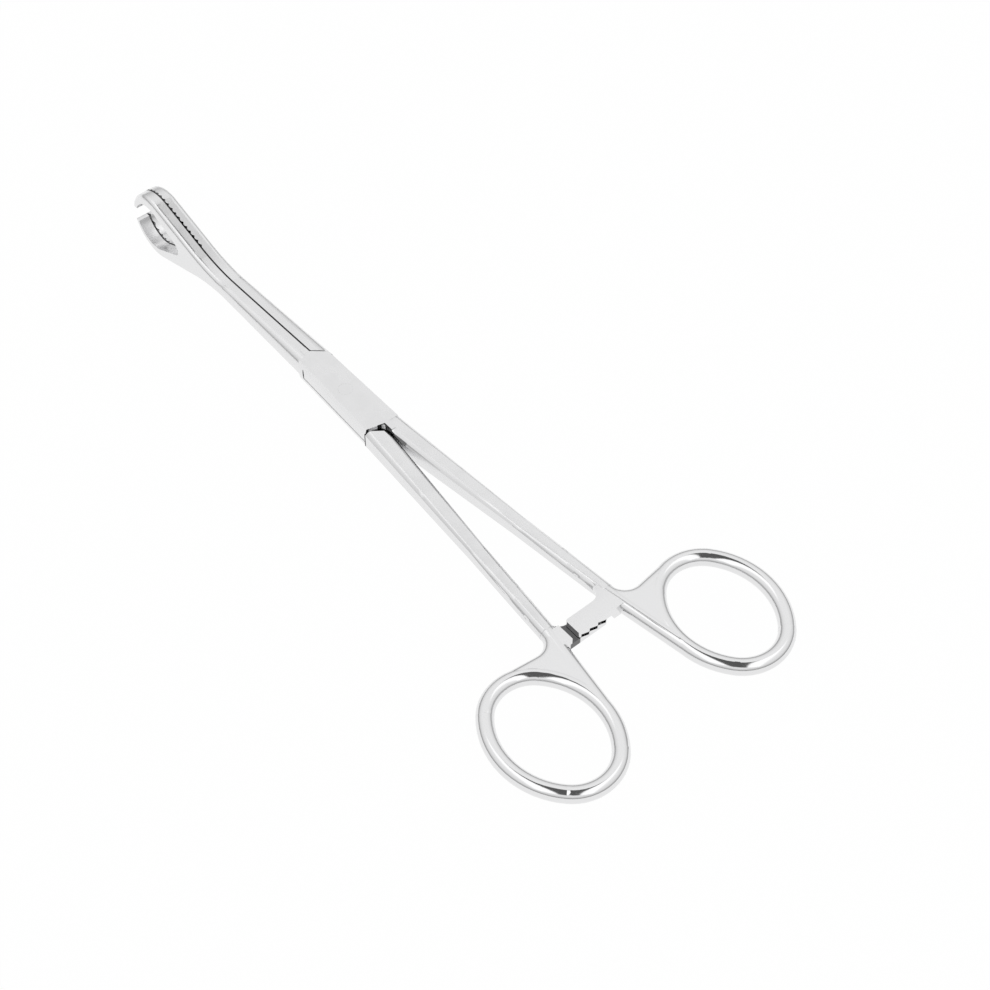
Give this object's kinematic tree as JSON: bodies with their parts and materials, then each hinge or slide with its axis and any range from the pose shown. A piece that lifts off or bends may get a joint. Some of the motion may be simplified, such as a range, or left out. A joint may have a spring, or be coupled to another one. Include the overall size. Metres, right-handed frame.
{
  "type": "piercing forceps",
  "caption": "Ring-handled piercing forceps: a box lock joins two arms with slotted, serrated oval jaws, finger rings and a ratchet; the arms open about the pivot.",
  "frame": {"origin": "under the middle of the closed forceps, at the height of the jaws' lowest point", "axes": "+X along the forceps to the jaw tips, +Y across in the plane in which the arms open, towards the box arm's jaw, +Z along the pivot"},
  "size_m": [0.1782, 0.0672, 0.016],
  "materials": {
    "satin_steel": "fine satin, polished on the rings",
    "pin_steel": "fine satin, ground flush"
  },
  "bodies": {
    "box_body": {"box_arm": "satin_steel", "pivot_pin": "pin_steel"},
    "tongue_body": {"tongue_arm": "satin_steel"}
  },
  "joints": [
    {"name": "lock_pivot", "type": "hinge", "parent": "box_body", "child": "tongue_body", "pos_m": [0.01439, 0, 0.008], "axis": [0, 0, -1], "range_deg": [0, 40]}
  ]
}
